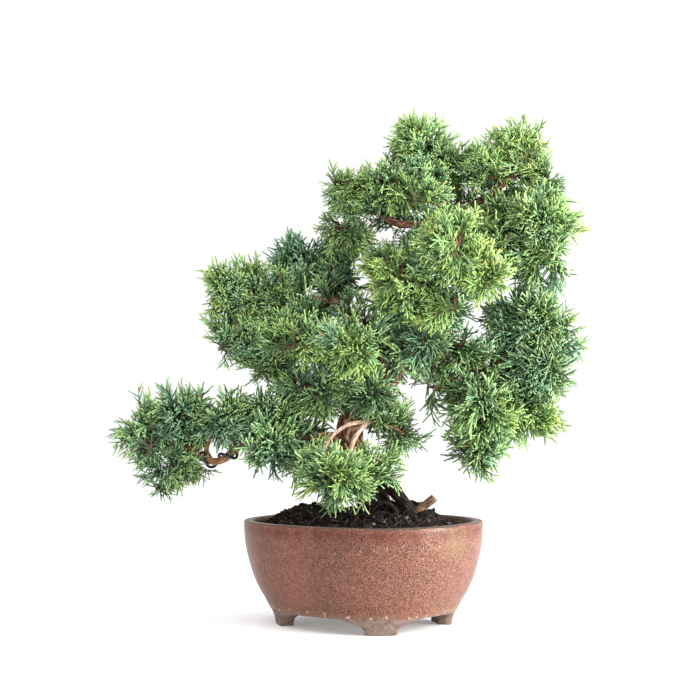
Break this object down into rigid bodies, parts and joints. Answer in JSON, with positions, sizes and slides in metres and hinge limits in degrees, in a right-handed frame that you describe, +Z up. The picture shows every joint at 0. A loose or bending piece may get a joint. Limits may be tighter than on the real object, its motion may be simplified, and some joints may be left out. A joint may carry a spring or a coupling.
{
  "type": "bonsai tree in a pot",
  "caption": "Small juniper bonsai with a leaning trunk and pads of green shoots, one low branch wired out to the side, in a footed red-brown glazed pot.",
  "frame": {"origin": "on the ground the pot stands on, under the middle of the overall width and depth; the pot's middle is 7.2 mm towards +X", "axes": "+Z up along the tree; -Y is the tree's front, so +X is to the right seen from the front; one corner foot of the pot faces the front"},
  "size_m": [0.2984, 0.1426, 0.313],
  "materials": {
    "pot": "satin",
    "drain_screen": "matte",
    "screen_clip": "satin",
    "soil": "matte",
    "bark": "matte",
    "training_wire": "satin",
    "foliage": "matte"
  },
  "bodies": {
    "root": {"pot": "pot", "drain_screen_left": "drain_screen", "drain_screen_right": "drain_screen", "screen_clip_left": "screen_clip", "screen_clip_right": "screen_clip", "soil": "soil", "trunk_and_branches": "bark", "training_wire": "training_wire", "foliage_centre_front": "foliage", "foliage_centre_front_left": "foliage", "foliage_front_low": "foliage", "foliage_left_front": "foliage", "foliage_centre_left": "foliage", "foliage_centre_left_under": "foliage", "foliage_low_left_tip": "foliage", "foliage_low_left_top": "foliage", "foliage_low_left_inner": "foliage", "foliage_left_high": "foliage", "foliage_left_middle": "foliage", "foliage_upper_left": "foliage", "foliage_apex": "foliage", "foliage_apex_front": "foliage", "foliage_top_right": "foliage", "foliage_right_upper": "foliage", "foliage_right_middle": "foliage", "foliage_right_low": "foliage", "foliage_centre": "foliage", "foliage_trunk_spray": "foliage", "foliage_back_left": "foliage", "foliage_back_centre": "foliage", "foliage_back_upper": "foliage", "foliage_back_low": "foliage", "foliage_back_right": "foliage"}
  },
  "joints": []
}
